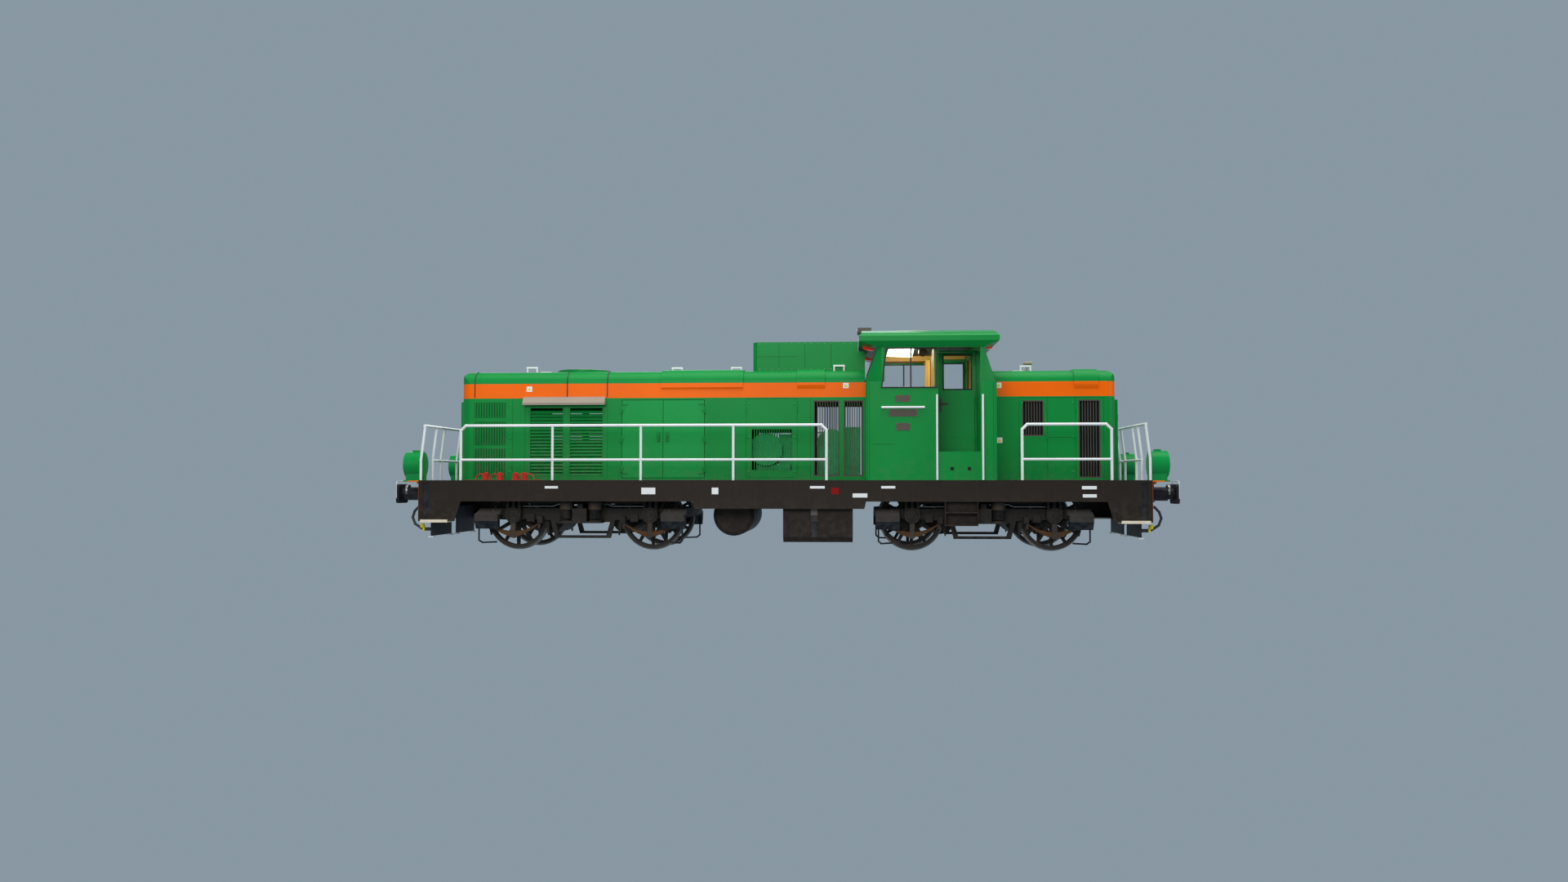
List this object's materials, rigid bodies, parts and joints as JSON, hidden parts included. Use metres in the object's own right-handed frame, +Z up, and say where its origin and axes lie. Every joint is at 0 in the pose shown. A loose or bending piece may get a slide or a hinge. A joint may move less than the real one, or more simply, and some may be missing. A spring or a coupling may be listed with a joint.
{
  "type": "diesel locomotive",
  "caption": "Hood-type diesel shunting locomotive with an off-centre cab, railed walkways, spoked wheels in two bogies, opening doors and a roof fan.",
  "frame": {"origin": "centre of the bounding box at the lowest point of the wheel flanges", "axes": "+X towards the short hood, +Y to the left, +Z up"},
  "size_m": [14.07, 3.17, 4.1199],
  "materials": {
    "frame_paint": "satin black-brown paint",
    "bogie_paint": "dusty black-brown paint",
    "buffer_paint": "greased black steel, white rim",
    "plough_paint": "black paint, white lower tips",
    "hose_rubber": "matt ribbed rubber",
    "hood_paint": "semi-gloss green with an orange band",
    "cab_paint": "semi-gloss green",
    "slat_paint": "semi-gloss green",
    "lamp_paint": "gloss green",
    "rail_paint": "white enamel",
    "visor_paint": "grey-brown paint",
    "machine_paint": "light green machine enamel",
    "window_glass": "clear safety glass",
    "desk_plastic": "textured grey-brown",
    "seat_shell": "black",
    "seat_cover": "dark artificial leather",
    "housing_paint": "grey-brown paint",
    "red_lens": "red lens",
    "shoe_paint": "red paint, worn",
    "spring_rust": "rusty spring steel",
    "coil_steel": "black paint",
    "sandbox_paint": "dusty grey-brown paint",
    "wheel_steel": "dark paint, bright worn tread",
    "fan_metal": "cast, dull"
  },
  "bodies": {
    "main_body": {"underframe": "frame_paint", "buffers": "buffer_paint", "draw_hooks": "frame_paint", "ploughs": "plough_paint", "end_steps": "frame_paint", "cab_steps": "frame_paint", "air_hoses": "hose_rubber", "long_hood": "hood_paint", "short_hood": "hood_paint", "intake_housing": "hood_paint", "lifting_loops": "rail_paint", "fan_cowl": "hood_paint", "shutters": "slat_paint", "shutter_visors": "visor_paint", "side_grilles": "slat_paint", "engine": "machine_paint", "compressor": "machine_paint", "cab_body": "cab_paint", "cab_roof": "cab_paint", "cab_windows": "window_glass", "control_desk": "desk_plastic", "driver_seats": "seat_shell", "seat_pads": "seat_cover", "roof_headlight": "housing_paint", "tail_lamps": "red_lens", "headlights": "lamp_paint", "horn": "visor_paint", "side_handrails": "rail_paint", "end_handrails": "rail_paint", "grab_rails": "rail_paint", "fuel_tank": "frame_paint", "air_reservoir": "frame_paint", "drag_shoes": "shoe_paint"},
    "bogie_front": {"bogie_frame_front": "bogie_paint", "leaf_springs_front": "spring_rust", "coil_springs_front": "coil_steel", "sandboxes_front": "sandbox_paint", "traction_motors_front": "bogie_paint"},
    "bogie_rear": {"bogie_frame_rear": "bogie_paint", "leaf_springs_rear": "spring_rust", "coil_springs_rear": "coil_steel", "sandboxes_rear": "sandbox_paint", "traction_motors_rear": "bogie_paint"},
    "wheelset_1": {"wheelset_1": "wheel_steel"},
    "wheelset_2": {"wheelset_2": "wheel_steel"},
    "wheelset_3": {"wheelset_3": "wheel_steel"},
    "wheelset_4": {"wheelset_4": "wheel_steel"},
    "cab_door_right": {"cab_door_right": "cab_paint"},
    "cab_door_left": {"cab_door_left": "cab_paint"},
    "engine_door_right_rear": {"engine_door_right_rear": "hood_paint"},
    "engine_door_right_front": {"engine_door_right_front": "hood_paint"},
    "engine_door_left_rear": {"engine_door_left_rear": "hood_paint"},
    "engine_door_left_front": {"engine_door_left_front": "hood_paint"},
    "fan_rotor": {"fan_rotor": "fan_metal"}
  },
  "joints": [
    {"name": "bogie_swivel_front", "type": "hinge", "parent": "main_body", "child": "bogie_front", "pos_m": [3.6, 0, 0.9], "axis": [0, 0, 1], "range_deg": [-4, 4]},
    {"name": "bogie_swivel_rear", "type": "hinge", "parent": "main_body", "child": "bogie_rear", "pos_m": [-3.6, 0, 0.9], "axis": [0, 0, 1], "range_deg": [-4, 4]},
    {"name": "wheelset_1_roll", "type": "hinge", "parent": "bogie_rear", "child": "wheelset_1", "pos_m": [-4.85, 0, 0.58], "axis": [0, 1, 0], "continuous": true},
    {"name": "wheelset_2_roll", "type": "hinge", "parent": "bogie_rear", "child": "wheelset_2", "pos_m": [-2.35, 0, 0.58], "axis": [0, 1, 0], "continuous": true},
    {"name": "wheelset_3_roll", "type": "hinge", "parent": "bogie_front", "child": "wheelset_3", "pos_m": [2.35, 0, 0.58], "axis": [0, 1, 0], "continuous": true},
    {"name": "wheelset_4_roll", "type": "hinge", "parent": "bogie_front", "child": "wheelset_4", "pos_m": [4.85, 0, 0.58], "axis": [0, 1, 0], "continuous": true},
    {"name": "cab_door_right_hinge", "type": "hinge", "parent": "main_body", "child": "cab_door_right", "pos_m": [3.4965, -0.814, 2.7], "axis": [0, 0, 1], "range_deg": [0, 90]},
    {"name": "cab_door_left_hinge", "type": "hinge", "parent": "main_body", "child": "cab_door_left", "pos_m": [3.4965, 0.814, 2.7], "axis": [0, 0, -1], "range_deg": [0, 90]},
    {"name": "engine_door_right_rear_hinge", "type": "hinge", "parent": "main_body", "child": "engine_door_right_rear", "pos_m": [-2.93, -0.814, 2], "axis": [0, 0, -1], "range_deg": [0, 55]},
    {"name": "engine_door_right_front_hinge", "type": "hinge", "parent": "main_body", "child": "engine_door_right_front", "pos_m": [-1.41, -0.814, 2], "axis": [0, 0, 1], "range_deg": [0, 55]},
    {"name": "engine_door_left_rear_hinge", "type": "hinge", "parent": "main_body", "child": "engine_door_left_rear", "pos_m": [-2.93, 0.814, 2], "axis": [0, 0, 1], "range_deg": [0, 55]},
    {"name": "engine_door_left_front_hinge", "type": "hinge", "parent": "main_body", "child": "engine_door_left_front", "pos_m": [-1.41, 0.814, 2], "axis": [0, 0, -1], "range_deg": [0, 55]},
    {"name": "fan_spin", "type": "hinge", "parent": "main_body", "child": "fan_rotor", "pos_m": [-3.8, 0, 3.2], "axis": [0, 0, 1], "continuous": true}
  ]
}
